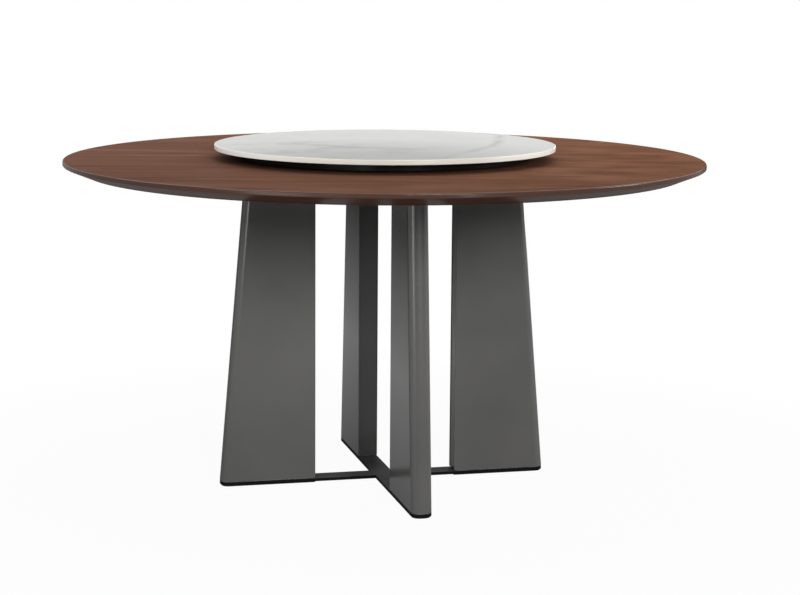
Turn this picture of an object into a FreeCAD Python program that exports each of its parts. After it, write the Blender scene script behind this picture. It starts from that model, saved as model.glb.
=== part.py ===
"""Round walnut dining table with a stone lazy susan, in millimetres.

The origin is on the floor under the middle of the table and +Z is up. Four panel legs stand in a
cross along +X (right), +Y (back), -X (left) and -Y (front). The turntable turns about the Z axis.
"""
import FreeCAD
import Part
import os

# Tabletop: a veneered board in a solid lipping with a bevel under its edge
table_height = 770.0          # floor to the wooden surface
top_diameter = 1500.0
top_thickness = 30.0
edge_height = 10.0            # upright band of the edge, above the bevel
bevel_reach = 50.0            # how far the bevel runs inwards
edge_arris = 3.0              # rounding of the upper corner
veneer_thickness = 0.6
lipping_bed = 30.0            # flat underside of the lipping, inside the bevel
glue_line = 0.1

# Panel legs: a folded sheet round the outer edge, closed on the inner edge by a welded strip
leg_thickness = 48.0
leg_inner_radius = 171.0      # upright inner edge, from the table's axis
leg_foot_radius = 396.0       # outer edge at the floor end
leg_head_radius = 334.0       # outer edge at the top end
leg_corner_radius = 20.0
leg_sheet = 2.0
closure_inset = 1.2           # strip sunk between the two lips of the sheet
closure_thickness = 3.0
end_plate_thickness = 10.0    # threaded plates welded into both ends of a leg
weld_gap = 0.1

# Base cross on the floor and mounting cross under the top
base_thickness = 8.0
base_edge_break = 0.8         # chamfer round the base cross's upper rim
foot_gap = 1.5                # shadow line between a leg's sheet and the base cross
floor_pad_thickness = 2.5
floor_pad_inset = 3.0         # pad set back from the rim of the base cross
cross_thickness = 6.0
cross_arm_width = 60.0
cross_corner_radius = 12.0
cross_overhang = 125.0        # arm beyond the leg's head

# Fasteners of the base and the top
screw_radius = 4.0            # countersunk screws into the leg ends
screw_head_radius = 7.5
screw_end_gap = 2.0           # end plate left beyond the screw's tip
leg_screw_inset = 30.0        # from the leg's edges to its screws
bolt_radius = 4.0             # bolts that hold the top
bolt_head_flats = 13.0
bolt_head_height = 5.3
bolt_hole_play = 0.5
bolt_inner_setback = 60.0     # inner bolts, from the leg's inner edge towards the axis
bolt_outer_setback = 30.0     # outer bolts, from the end of the cross's arm
washer_radius = 8.5
washer_thickness = 1.6
insert_radius = 6.0           # threaded inserts in the board
insert_cover = 10.0           # board left above an insert
bolt_end_gap = 4.0            # insert left empty above a bolt
screw_fit = 0.1               # play round every screw and insert

# Turntable: a fixed plate, a caged ball race and a drum that carries the stone
stone_diameter = 800.0
stone_thickness = 12.0
stone_arris = 1.5
bond_pad_thickness = 3.0
bond_pad_radius = 15.0
bond_pad_setback = 45.0       # pad centre from the drum's rim
bond_pad_count = 8
drum_diameter = 680.0
drum_sheet = 2.0
drum_bend = 1.5               # inside radius of the drum's bent rim
drum_floor_gap = 3.0          # skirt above the wooden surface
grip_pad_thickness = 1.5
grip_pad_radius = 14.0
grip_pad_setback = 20.0       # pad centre from the fixed plate's rim
grip_pad_count = 8
plate_thickness = 2.5
plate_drum_gap = 80.0         # fixed plate's rim to the inside of the skirt
plate_window_radius = 32.0    # lightening holes between the pivot and the race
plate_window_circle = 80.0
plate_window_count = 6

# Ball race
ball_radius = 4.0
ball_count = 24
ball_circle = 150.0
ball_race_play = 0.3
ball_pocket_play = 0.15
race_width = 36.0
race_height = 5.0
race_gap = 3.0                # between the two races
cage_width = 18.0
cage_play = 0.5               # cage to each race
race_screw_radius = 2.0
race_screw_head_radius = 3.6
race_screw_setback = 11.0     # screw circle inside the ball circle
race_screw_end_gap = 1.5      # race left beyond a screw's tip
race_screw_count = 6

# Pivot
pin_radius = 6.0
pin_collar_radius = 11.0
pin_collar_height = 3.0
pin_running_play = 0.2
pin_stone_gap = 0.6           # pin's end to the underside of the stone
bush_wall = 3.0
bush_flange_radius = 14.0
bush_flange_height = 2.0
clip_radius = 10.0
clip_thickness = 1.0
clip_groove_depth = 0.8
clip_mouth = 5.0              # opening of the spring clip
clip_play = 0.4

# Levels and radii that follow from the sizes above
base_top = floor_pad_thickness + base_thickness
leg_bottom = base_top + foot_gap
top_underside = table_height - top_thickness
leg_top = top_underside - cross_thickness
top_radius = top_diameter / 2
lipping_inner_radius = top_radius - bevel_reach - lipping_bed
leg_half = leg_thickness / 2
closure_back = leg_inner_radius + closure_inset + closure_thickness
cross_reach = leg_head_radius + cross_overhang
insert_length = top_thickness - insert_cover
bolt_circles = (leg_inner_radius - bolt_inner_setback, cross_reach - bolt_outer_setback)
base_screw_circles = (leg_inner_radius + leg_screw_inset, leg_foot_radius - leg_screw_inset)
head_screw_circles = (leg_inner_radius + leg_screw_inset, leg_head_radius - leg_screw_inset)

plate_bottom = table_height + grip_pad_thickness
plate_top = plate_bottom + plate_thickness
lower_race_top = plate_top + race_height
upper_race_bottom = lower_race_top + race_gap
ball_level = lower_race_top + race_gap / 2
drum_underside = upper_race_bottom + race_height
drum_top = drum_underside + drum_sheet
stone_bottom = drum_top + bond_pad_thickness
drum_radius = drum_diameter / 2
plate_radius = drum_radius - drum_sheet - plate_drum_gap
race_inner_radius = ball_circle - race_width / 2
race_outer_radius = ball_circle + race_width / 2
race_screw_circle = ball_circle - race_screw_setback
bush_radius = pin_radius + bush_wall

AXIS_FOOT = FreeCAD.Vector(0, 0, 0)
UP = FreeCAD.Vector(0, 0, 1)
LEG_ANGLES = {"right": 0, "back": 90, "left": 180, "front": 270}
CUT_OVER = 1.0                # how far a cutting shape runs past the face it opens


def turned(shape, angle):
    """A copy of the shape turned about the table's axis."""
    copy = shape.copy()
    copy.rotate(AXIS_FOOT, UP, angle)
    return copy


def around(shape, count):
    """The shape repeated evenly about the table's axis."""
    return Part.makeCompound([turned(shape, 360 * step / count) for step in range(count)])


def on_legs(shape, circles):
    """The shape, drawn on the axis, repeated on every leg's centre line at the given radii."""
    row = [shape.translated(FreeCAD.Vector(radius, 0, 0)) for radius in circles]
    return Part.makeCompound([turned(item, angle) for angle in LEG_ANGLES.values() for item in row])


def cylinder(radius, bottom, top, x=0):
    return Part.makeCylinder(radius, top - bottom, FreeCAD.Vector(x, 0, bottom))


def ring(inner, outer, bottom, top):
    return cylinder(outer, bottom, top).cut(cylinder(inner, bottom - CUT_OVER, top + CUT_OVER))


def point(radius, level):
    return FreeCAD.Vector(radius, 0, level)


def revolved(edges):
    return Part.Face(Part.Wire(edges)).revolve(AXIS_FOOT, UP, 360)


def turning(corners):
    """A turned solid from the corners (radius, level) of its straight-sided half section."""
    points = [point(radius, level) for radius, level in corners]
    return revolved(Part.makePolygon(points + points[:1]).Edges)


def quarter(start, corner, end):
    """A quarter round from start to end inside the given corner."""
    centre = start + end - corner
    middle = centre + (corner - centre).normalize() * (start - centre).Length
    return Part.Arc(start, middle, end).toShape()


def countersunk(head, shank, length):
    """A countersunk screw, or the hole for one, with its flat head at level 0 and its tip up."""
    taper = head - shank
    return turning([(0, 0), (head, 0), (shank, taper), (shank, length), (0, length)])


def head_up(shape, level):
    """The screw turned over, with its flat head at the given level."""
    copy = shape.copy()
    copy.rotate(AXIS_FOOT, FreeCAD.Vector(1, 0, 0), 180)
    return copy.translated(UP * level)


def tabletop_blank():
    """The whole top with its edge profile, before it is split into layers."""
    bottom_rim = point(top_radius - bevel_reach, top_underside)
    bevel_rim = point(top_radius, table_height - edge_height)
    arris_low = point(top_radius, table_height - edge_arris)
    arris_corner = point(top_radius, table_height)
    arris_high = point(top_radius - edge_arris, table_height)
    edges = [
        Part.makeLine(point(0, top_underside), bottom_rim),
        Part.makeLine(bottom_rim, bevel_rim),
        Part.makeLine(bevel_rim, arris_low),
        quarter(arris_low, arris_corner, arris_high),
        Part.makeLine(arris_high, point(0, table_height)),
        Part.makeLine(point(0, table_height), point(0, top_underside)),
    ]
    return revolved(edges)


def tabletop():
    """Face veneer, core board, lipping, backing veneer and the threaded inserts under the board."""
    blank = tabletop_blank()
    face_level = table_height - veneer_thickness
    back_level = top_underside + veneer_thickness
    insert_top = top_underside + insert_length
    holes = on_legs(cylinder(insert_radius + screw_fit, top_underside - CUT_OVER, insert_top), bolt_circles)
    insert = ring(bolt_radius + screw_fit, insert_radius, top_underside, insert_top)
    body = blank.common(cylinder(top_diameter, back_level, face_level))
    return {
        "top_veneer": blank.common(cylinder(top_diameter, face_level, table_height + CUT_OVER)),
        "tabletop_core": body.common(
            cylinder(lipping_inner_radius - glue_line, back_level, face_level)).cut(holes),
        "edge_lipping": body.cut(cylinder(lipping_inner_radius, back_level, face_level)),
        "backing_veneer": blank.common(
            cylinder(top_diameter, top_underside - CUT_OVER, back_level)).cut(holes),
        "threaded_inserts": on_legs(insert, bolt_circles),
    }


def hexagon_prism(flats, bottom, top):
    blank = cylinder(flats, bottom, top)
    for step in range(6):
        side = Part.makeBox(flats, 2 * flats, top - bottom, FreeCAD.Vector(flats / 2, -flats, bottom))
        blank = blank.cut(turned(side, 60 * step))
    return blank


def top_fixings():
    """Bolts and washers that hold the board on the mounting cross, from below."""
    washer_bottom = leg_top - washer_thickness
    tip = top_underside + insert_length - bolt_end_gap
    head = hexagon_prism(bolt_head_flats, washer_bottom - bolt_head_height, washer_bottom)
    bolt = head.fuse(cylinder(bolt_radius, washer_bottom, tip)).removeSplitter()
    washer = ring(bolt_radius + bolt_hole_play, washer_radius, washer_bottom, leg_top)
    return {
        "top_bolts": on_legs(bolt, bolt_circles),
        "top_bolt_washers": on_legs(washer, bolt_circles),
    }


def cross_plate(reach, width, corner, bottom, top):
    """Two crossed bars in one flat plate, with rounded ends."""
    bar = Part.makeBox(2 * reach, width, top - bottom, FreeCAD.Vector(-reach, -width / 2, bottom))
    corners = [edge for edge in bar.Edges if abs(edge.BoundBox.ZLength - (top - bottom)) < glue_line]
    bar = bar.makeFillet(corner, corners)
    return bar.fuse(turned(bar, 90)).removeSplitter()


def upper_rim(solid, level):
    """Edges that lie wholly at the given level."""
    return [edge for edge in solid.Edges if edge.BoundBox.ZMin > level - glue_line]


def crosses():
    """Base cross on the floor, mounting cross under the top, and the screws into the leg ends."""
    base = cross_plate(leg_foot_radius, leg_thickness, leg_corner_radius, floor_pad_thickness, base_top)
    base = base.makeChamfer(base_edge_break, upper_rim(base, base_top))
    mounting = cross_plate(cross_reach, cross_arm_width, cross_corner_radius, leg_top, top_underside)
    base_length = base_thickness + end_plate_thickness - screw_end_gap
    head_length = cross_thickness + end_plate_thickness - screw_end_gap
    base_screw = countersunk(screw_head_radius, screw_radius, base_length)
    head_screw = countersunk(screw_head_radius, screw_radius, head_length)
    hole = countersunk(screw_head_radius + screw_fit, screw_radius + screw_fit, base_length + head_length)
    base_holes = on_legs(hole.translated(UP * floor_pad_thickness), base_screw_circles)
    head_holes = on_legs(head_up(hole, top_underside), head_screw_circles)
    bolt_hole = cylinder(bolt_radius + bolt_hole_play, leg_top - CUT_OVER, top_underside + CUT_OVER)
    return {
        "base_cross": base.cut(base_holes),
        "mounting_cross": mounting.cut(head_holes).cut(on_legs(bolt_hole, bolt_circles)),
        "base_screws": on_legs(base_screw.translated(UP * floor_pad_thickness), base_screw_circles),
        "leg_head_screws": on_legs(head_up(head_screw, top_underside), head_screw_circles),
    }


def leg_section(inner, inset, level):
    """Plan of a leg at one level, drawn in from the outside of its sheet by the inset."""
    rise = (level - leg_bottom) / (leg_top - leg_bottom)
    outer = leg_foot_radius + (leg_head_radius - leg_foot_radius) * rise - inset
    half = leg_half - inset
    corner = leg_corner_radius - inset

    def at(x, y):
        return FreeCAD.Vector(x, y, level)

    return Part.Wire([
        Part.makeLine(at(inner, -half), at(outer - corner, -half)),
        quarter(at(outer - corner, -half), at(outer, -half), at(outer, -half + corner)),
        Part.makeLine(at(outer, -half + corner), at(outer, half - corner)),
        quarter(at(outer, half - corner), at(outer, half), at(outer - corner, half)),
        Part.makeLine(at(outer - corner, half), at(inner, half)),
        Part.makeLine(at(inner, half), at(inner, -half)),
    ])


def leg_solid(inner, inset, bottom, top):
    return Part.makeLoft([leg_section(inner, inset, bottom), leg_section(inner, inset, top)], True, True)


def leg_pieces():
    """One leg along +X: folded sheet, closure strip and the end plates, and its floor pad."""
    hollow = leg_solid(leg_inner_radius - CUT_OVER, leg_sheet, leg_bottom - CUT_OVER, leg_top + CUT_OVER)
    strip_width = leg_thickness - 2 * leg_sheet
    strip_start = FreeCAD.Vector(leg_inner_radius + closure_inset, -strip_width / 2, leg_bottom)
    foot_top = base_top + end_plate_thickness
    head_bottom = leg_top - end_plate_thickness
    foot = leg_solid(closure_back, leg_sheet + weld_gap, base_top, foot_top)
    head = leg_solid(closure_back, leg_sheet + weld_gap, head_bottom, leg_top)
    screw_hole = cylinder(screw_radius + screw_fit, 0, table_height)
    foot_holes = [screw_hole.translated(FreeCAD.Vector(radius, 0, 0)) for radius in base_screw_circles]
    head_holes = [screw_hole.translated(FreeCAD.Vector(radius, 0, 0)) for radius in head_screw_circles]
    pad = Part.Face(leg_section(leg_inner_radius, floor_pad_inset, leg_bottom))
    pad.translate(UP * -leg_bottom)
    return {
        "leg_shell": leg_solid(leg_inner_radius, 0, leg_bottom, leg_top).cut(hollow),
        "leg_closure_strip": Part.makeBox(closure_thickness, strip_width, leg_top - leg_bottom, strip_start),
        "leg_foot_plate": foot.cut(foot_holes),
        "leg_head_plate": head.cut(head_holes),
        "floor_pad": pad.extrude(UP * floor_pad_thickness),
    }


def legs():
    """The four legs, each piece named for the side that it stands on."""
    pieces = leg_pieces()
    return {
        f"{name}_{side}": turned(shape, angle)
        for side, angle in LEG_ANGLES.items()
        for name, shape in pieces.items()
    }


def turntable_plate():
    """Fixed plate on its grip pads, the lower race screwed to it, and the pivot pin with its clip."""
    plate = cylinder(plate_radius, plate_bottom, plate_top)
    window = cylinder(plate_window_radius, plate_bottom - CUT_OVER, plate_top + CUT_OVER, plate_window_circle)
    pin_hole = cylinder(pin_radius + screw_fit, plate_bottom - CUT_OVER, plate_top + CUT_OVER)
    pad = cylinder(grip_pad_radius, table_height, plate_bottom, plate_radius - grip_pad_setback)
    length = plate_thickness + groove_floor() - race_screw_end_gap
    place = FreeCAD.Vector(race_screw_circle, 0, plate_bottom)
    screws = around(race_screw(length).translated(place), race_screw_count)
    holes = around(race_screw(length, screw_fit).translated(place), race_screw_count)
    race = race_ring(plate_top, lower_race_top)
    return {
        "turntable_plate": plate.cut(around(window, plate_window_count)).cut(pin_hole).cut(holes),
        "grip_pads": around(pad, grip_pad_count),
        "lower_race": race.cut(holes),
        "lower_race_screws": screws,
        "pivot_pin": pivot_pin(),
        "pivot_clip": pivot_clip(),
    }


def race_screw(length, play=0):
    return countersunk(race_screw_head_radius + play, race_screw_radius + play, length)


def groove_floor():
    """Metal left in a race under the deepest line of its groove."""
    return race_height + race_gap / 2 - ball_radius - ball_race_play


def race_ring(bottom, top):
    """A race with the ball groove turned into the face that meets the balls."""
    groove = Part.makeTorus(ball_circle, ball_radius + ball_race_play, point(0, ball_level), UP)
    return ring(race_inner_radius, race_outer_radius, bottom, top).cut(groove)


def clip_levels():
    bottom = drum_top + clip_play
    return bottom, bottom + clip_thickness


def pivot_pin():
    """Pin riveted into the plate, with a collar below and a groove for the spring clip above."""
    collar_top = plate_top + pin_collar_height
    clip_bottom, clip_top = clip_levels()
    pin_top = stone_bottom - pin_stone_gap
    pin = turning([
        (0, plate_bottom),
        (pin_radius, plate_bottom),
        (pin_radius, plate_top),
        (pin_collar_radius, plate_top),
        (pin_collar_radius, collar_top),
        (pin_radius, collar_top),
        (pin_radius, pin_top),
        (0, pin_top),
    ])
    return pin.cut(ring(pin_radius - clip_groove_depth, clip_radius, clip_bottom, clip_top))


def pivot_clip():
    """Open spring clip that keeps the drum from lifting off the pin."""
    bottom, top = clip_levels()
    clip = ring(pin_radius - clip_groove_depth + screw_fit, clip_radius, bottom, top)
    mouth = Part.makeBox(clip_radius, clip_mouth, top - bottom, FreeCAD.Vector(0, -clip_mouth / 2, bottom))
    return clip.cut(mouth)


def ball_cage():
    """Balls in the pockets of a flat cage, midway between the two races."""
    ball = Part.makeSphere(ball_radius, point(ball_circle, ball_level))
    half = race_gap / 2 - cage_play
    cage = ring(ball_circle - cage_width / 2, ball_circle + cage_width / 2, ball_level - half, ball_level + half)
    pocket = cylinder(ball_radius + ball_pocket_play, lower_race_top, upper_race_bottom, ball_circle)
    return {
        "bearing_balls": around(ball, ball_count),
        "ball_cage": cage.cut(around(pocket, ball_count)),
    }


def drum():
    """Bent sheet drum, open below, with a hole for the pivot bush."""
    hub = bush_radius + screw_fit
    inside = drum_radius - drum_sheet
    skirt_bottom = table_height + drum_floor_gap
    outer_bend = drum_bend + drum_sheet
    corners = {
        "hub_low": point(hub, drum_underside),
        "inner_flat": point(inside - drum_bend, drum_underside),
        "inner_corner": point(inside, drum_underside),
        "inner_wall": point(inside, drum_underside - drum_bend),
        "skirt_inside": point(inside, skirt_bottom),
        "skirt_outside": point(drum_radius, skirt_bottom),
        "outer_wall": point(drum_radius, drum_top - outer_bend),
        "outer_corner": point(drum_radius, drum_top),
        "outer_flat": point(drum_radius - outer_bend, drum_top),
        "hub_high": point(hub, drum_top),
    }
    return revolved([
        Part.makeLine(corners["hub_low"], corners["inner_flat"]),
        quarter(corners["inner_flat"], corners["inner_corner"], corners["inner_wall"]),
        Part.makeLine(corners["inner_wall"], corners["skirt_inside"]),
        Part.makeLine(corners["skirt_inside"], corners["skirt_outside"]),
        Part.makeLine(corners["skirt_outside"], corners["outer_wall"]),
        quarter(corners["outer_wall"], corners["outer_corner"], corners["outer_flat"]),
        Part.makeLine(corners["outer_flat"], corners["hub_high"]),
        Part.makeLine(corners["hub_high"], corners["hub_low"]),
    ])


def pivot_bush():
    """Flanged bush in the drum's hub that runs on the pivot pin."""
    bore = pin_radius + pin_running_play
    flange_bottom = drum_underside - bush_flange_height
    return turning([
        (bore, flange_bottom),
        (bush_flange_radius, flange_bottom),
        (bush_flange_radius, drum_underside),
        (bush_radius, drum_underside),
        (bush_radius, drum_top),
        (bore, drum_top),
    ])


def stone_disc():
    """Stone disc with a fine rounded arris above and below."""
    disc = cylinder(stone_diameter / 2, stone_bottom, stone_bottom + stone_thickness)
    rims = [edge for edge in disc.Edges if edge.BoundBox.ZLength < stone_arris]
    return disc.makeFillet(stone_arris, rims)


def lazy_susan():
    """The pieces that turn: drum, upper race, bush, bond pads and the stone disc."""
    length = drum_sheet + groove_floor() - race_screw_end_gap
    place = FreeCAD.Vector(race_screw_circle, 0, 0)
    screws = around(head_up(race_screw(length), drum_top).translated(place), race_screw_count)
    holes = around(head_up(race_screw(length, screw_fit), drum_top).translated(place), race_screw_count)
    pad = cylinder(bond_pad_radius, drum_top, stone_bottom, drum_radius - bond_pad_setback)
    return {
        "turntable_drum": drum().cut(holes),
        "upper_race": race_ring(upper_race_bottom, drum_underside).cut(holes),
        "upper_race_screws": screws,
        "pivot_bush": pivot_bush(),
        "bond_pads": around(pad, bond_pad_count),
        "stone_disc": stone_disc(),
    }


os.makedirs("parts", exist_ok=True)
groups = (tabletop, top_fixings, crosses, legs, turntable_plate, ball_cage, lazy_susan)
for group in groups:
    for node, shape in group().items():
        shape.exportStep(f"parts/{node}.step")
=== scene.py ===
import math
import bmesh
import bpy
from mathutils import Matrix, Vector


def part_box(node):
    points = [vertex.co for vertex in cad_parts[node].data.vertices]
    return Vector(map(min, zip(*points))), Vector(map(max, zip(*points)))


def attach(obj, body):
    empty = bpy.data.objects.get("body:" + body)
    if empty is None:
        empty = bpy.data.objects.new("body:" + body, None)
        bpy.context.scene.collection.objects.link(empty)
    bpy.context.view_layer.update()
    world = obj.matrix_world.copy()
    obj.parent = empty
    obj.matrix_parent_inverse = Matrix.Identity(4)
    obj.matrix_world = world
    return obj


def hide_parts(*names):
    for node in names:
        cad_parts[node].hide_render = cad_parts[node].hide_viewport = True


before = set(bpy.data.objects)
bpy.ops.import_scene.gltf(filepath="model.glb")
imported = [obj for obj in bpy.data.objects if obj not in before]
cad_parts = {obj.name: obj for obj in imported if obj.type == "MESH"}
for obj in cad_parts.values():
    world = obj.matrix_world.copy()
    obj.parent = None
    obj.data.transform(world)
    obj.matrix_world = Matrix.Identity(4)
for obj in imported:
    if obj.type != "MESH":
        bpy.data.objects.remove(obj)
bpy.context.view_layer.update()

# Camera
# A long lens at about the height of a seated person's eyes, a few degrees to the left of the front leg,
# so that the top is seen as a flat ellipse and all four legs show.
sensor_width = 36                 # millimetres
image_width = 800                 # pixels
focal_length = 2089.27            # pixels
camera_distance = 4.90514         # from the table's axis, in plan
camera_height = 1.23791
camera_bearing = 0.228697         # from the front leg's line, in radians
aim_aside = 0.007696
aim_down = 0.161768
camera_roll = 0.007409

camera = bpy.data.cameras.new("photo_camera")
camera.sensor_width = sensor_width
camera.lens = focal_length * sensor_width / image_width
camera_object = bpy.data.objects.new("photo_camera", camera)
bpy.context.scene.collection.objects.link(camera_object)
camera_place = Vector((
    -camera_distance * math.sin(camera_bearing), -camera_distance * math.cos(camera_bearing), camera_height))
camera_object.matrix_world = (
    Matrix.Translation(camera_place)
    @ Matrix.Rotation(-camera_bearing - aim_aside, 4, "Z")
    @ Matrix.Rotation(math.pi / 2 - aim_down, 4, "X")
    @ Matrix.Rotation(camera_roll, 4, "Z"))
bpy.context.scene.camera = camera_object
bpy.context.scene.view_settings.view_transform = "Standard"


# Studio
# A pale seamless floor that runs out to white, soft boxes above the top and high in front, softer ones at
# the sides and low behind, two low ones whose reflections run along the rim and the rounded corners of the
# legs, and a small one that gleams on the drum.
floor_size = 60
floor_colour = (0.34, 0.34, 0.34, 1)
floor_white = 0.96                # share of plain white in the floor as seen, so that only the shadow shows
floor_run_out = (0.7, 1.8)        # where the floor fades into the white background, from the middle
white = (1, 1, 1, 1)
wall_light = 0.02                 # soft light of the room, from its walls and its ceiling
ceiling_light = 0.15
soft_boxes = {
    "overhead": {"place": (0.2, 1.05, 2.8), "aim": (0, 0.2, 0.78), "size": (2.2, 1.5), "power": 24},
    "high_left": {"place": (-1.7, 0.65, 2.4), "aim": (0, 0, 0.78), "size": (1.0, 1.4), "power": 14.5},
    "high_right": {"place": (1.7, 0.65, 2.4), "aim": (0, 0, 0.78), "size": (1.0, 1.4), "power": 16},
    "front": {"place": (0.4, -5.6, 2.4), "aim": (0, 0, 0.5), "size": (2.2, 1.6), "power": 242},
    "left": {"place": (-3.7, -2.2, 2.5), "aim": (0, 0, 0.4), "size": (1.6, 1.5), "power": 74},
    "right": {"place": (3.8, -1.3, 1.8), "aim": (0, 0, 0.6), "size": (1.2, 1.4), "power": 104},
    "low_left": {"place": (-3.1, -2.9, 0.58), "aim": (0, 0, 0.58), "size": (1.4, 0.6), "power": 17},
    "low_right": {"place": (0.97, -4.24, 0.615), "aim": (0, -0.36, 0.615), "size": (0.18, 0.47), "power": 6},
    "low_back": {"place": (2.2, 3.6, 0.42), "aim": (0, 0, 0.4), "size": (1.6, 0.6), "power": 45},
    "drum_spot": {"place": (-0.73, -1.41, 0.82), "aim": (-0.1, -0.33, 0.78), "size": (0.12, 0.05),
                  "power": 1.2},
}


def feed(tree, socket, value):
    """Sets a socket to a value, or joins it to another node's output."""
    if isinstance(value, bpy.types.NodeSocket):
        tree.links.new(value, socket)
    else:
        socket.default_value = value


def add_node(tree, kind, values=None, **settings):
    """A shader node with its settings and what feeds its inputs."""
    made = tree.nodes.new("ShaderNode" + kind)
    for setting, value in settings.items():
        setattr(made, setting, value)
    for socket, value in (values or {}).items():
        feed(tree, made.inputs[socket], value)
    return made


def calculate(tree, operation, first, second=0.0, third=0.0):
    return add_node(tree, "Math", {0: first, 1: second, 2: third}, operation=operation).outputs[0]


def seen_as_white(tree):
    """1 for rays from the camera and from shiny or clear surfaces, which see the plain white background."""
    path = add_node(tree, "LightPath")
    seen = calculate(tree, "MAXIMUM", path.outputs["Is Camera Ray"], path.outputs["Is Glossy Ray"])
    return calculate(tree, "MAXIMUM", seen, path.outputs["Is Transmission Ray"])


def soft_box(name, place, aim, size, power):
    """A rectangular lamp turned to its aim, which the camera doesn't see."""
    lamp = bpy.data.lights.new(name, "AREA")
    lamp.shape = "RECTANGLE"
    lamp.size, lamp.size_y = size
    lamp.energy = power
    box = bpy.data.objects.new(name, lamp)
    box.location = place
    box.visible_camera = False
    box.rotation_euler = (Vector(aim) - Vector(place)).to_track_quat("-Z", "Y").to_euler()
    bpy.context.scene.collection.objects.link(box)


bpy.ops.object.select_all(action="DESELECT")
bpy.ops.mesh.primitive_plane_add(size=floor_size)
floor = bpy.context.object
floor.name = "studio_floor"
floor_material = bpy.data.materials.new("studio_floor_paper")
floor_material.use_nodes = True
tree = floor_material.node_tree
tree.nodes.clear()
seen = seen_as_white(tree)
paper = add_node(tree, "BsdfDiffuse", {"Color": floor_colour})
backdrop_white = add_node(tree, "Emission", {"Color": white, "Strength": 1.0})
place = add_node(tree, "TexCoord").outputs["Object"]
from_middle = add_node(tree, "VectorMath", {0: place}, operation="LENGTH").outputs["Value"]
run_out = add_node(tree, "MapRange", {
    "Value": from_middle, "From Min": floor_run_out[0], "From Max": floor_run_out[1],
    "To Min": floor_white, "To Max": 1.0}, interpolation_type="SMOOTHSTEP").outputs["Result"]
sweep = add_node(tree, "MixShader", {
    0: calculate(tree, "MULTIPLY", run_out, seen), 1: paper.outputs[0], 2: backdrop_white.outputs[0]})
add_node(tree, "OutputMaterial", {"Surface": sweep.outputs[0]})
floor.data.materials.append(floor_material)

world = bpy.data.worlds.new("studio_world")
world.use_nodes = True
tree = world.node_tree
tree.nodes.clear()
sky = add_node(tree, "SeparateXYZ", {0: add_node(tree, "TexCoord").outputs["Generated"]}).outputs["Z"]
room = add_node(tree, "MapRange", {
    "Value": sky, "From Min": 0.0, "From Max": 1.0,
    "To Min": wall_light, "To Max": ceiling_light}).outputs["Result"]
backdrop = calculate(tree, "MAXIMUM", seen_as_white(tree), room)
background = add_node(tree, "Background", {"Color": white, "Strength": backdrop})
add_node(tree, "OutputWorld", {"Surface": background.outputs[0]})
bpy.context.scene.world = world

for name, values in soft_boxes.items():
    soft_box(name, **values)


# Floor pads
# Strips of black rubber glued under the four arms of the base cross, cut to the arm's outline.
# Moulded sheet with a fine pebbled face; the cut edges are a little greyer.
rubber_black = (0.016, 0.016, 0.016, 1)
rubber_grey = (0.040, 0.039, 0.038, 1)
sides = {"right": 0, "back": 90, "left": 180, "front": 270}    # the arms and legs, with their angles


def object_place(tree, scale=(1, 1, 1), turn=0.0):
    """The surface point in the part's own frame, turned about the vertical and then scaled."""
    place = add_node(tree, "TexCoord").outputs["Object"]
    turned = add_node(tree, "Mapping", {"Vector": place, "Rotation": (0, 0, turn)}).outputs[0]
    return add_node(tree, "Mapping", {"Vector": turned, "Scale": scale}).outputs[0]


def noise(tree, vector, scale, detail=3.0, roughness=0.5, distortion=0.0):
    return add_node(tree, "TexNoise", {
        "Vector": vector, "Scale": scale, "Detail": detail, "Roughness": roughness, "Distortion": distortion,
    }).outputs["Fac"]


def spread(tree, value, low, high, to_low=0.0, to_high=1.0):
    """The value stretched from its own range to a new one, and held there."""
    return add_node(tree, "MapRange", {
        "Value": value, "From Min": low, "From Max": high, "To Min": to_low, "To Max": to_high,
    }).outputs["Result"]


def mix_colours(tree, share, first, second, blend="MIX"):
    sockets = {0: share, 6: first, 7: second}
    return add_node(tree, "Mix", sockets, data_type="RGBA", blend_type=blend).outputs[2]


def bumped(tree, height, strength, distance):
    return add_node(tree, "Bump", {"Height": height, "Strength": strength, "Distance": distance}).outputs[0]


def new_finish(name):
    """A material with an empty node tree but for its shader, and that shader."""
    finish = bpy.data.materials.new(name)
    finish.use_nodes = True
    tree = finish.node_tree
    tree.nodes.clear()
    shader = add_node(tree, "BsdfPrincipled")
    add_node(tree, "OutputMaterial", {"Surface": shader.outputs[0]})
    return finish, tree, shader


def set_finish(tree, shader, **values):
    """Feeds the shader's inputs, named with an underscore for each space."""
    for socket, value in values.items():
        feed(tree, shader.inputs[socket.replace("_", " ")], value)


def finish_nodes(finish, *names):
    """Gives carried-over pieces of the frame their finish."""
    for name in names:
        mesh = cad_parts[name].data
        mesh.materials.clear()
        mesh.materials.append(finish)


rubber, tree, shader = new_finish("moulded_black_rubber")
place = object_place(tree)
pebbles = noise(tree, place, 900, 2)
scuffs = spread(tree, noise(tree, place, 60, 4), 0.45, 0.75)
set_finish(
    tree, shader,
    Base_Color=mix_colours(tree, scuffs, rubber_black, rubber_grey),
    Roughness=spread(tree, pebbles, 0.3, 0.7, 0.75, 0.95),
    Normal=bumped(tree, pebbles, 0.35, 0.0004),
    Specular_IOR_Level=0.25)
finish_nodes(rubber, *[f"floor_pad_{side}" for side in sides], "grip_pads")


# Base cross
# One flat steel plate, cut as a cross with rounded ends, its upper rim broken by a fine chamfer and
# countersunk from below. Black powder coat with a fine grain; its sides are painted near black as shade.
base_low, base_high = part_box("base_cross")
base_reach = base_high.x
base_width = 0.048
base_corner = 0.020
base_chamfer = 0.0008
coat_black = (0.038, 0.038, 0.038, 1)
coat_black_light = (0.060, 0.060, 0.060, 1)
# painted shade: the colour of the plate's sides and underside, darker than its top
black_edge_painted_shade = (0.005, 0.005, 0.005, 1)
tiny = 0.00005                    # points nearer than this count as one place
round_steps = 6                   # facets of a rounded corner, on a turned piece and on a plate
plate_steps = 8


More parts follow.
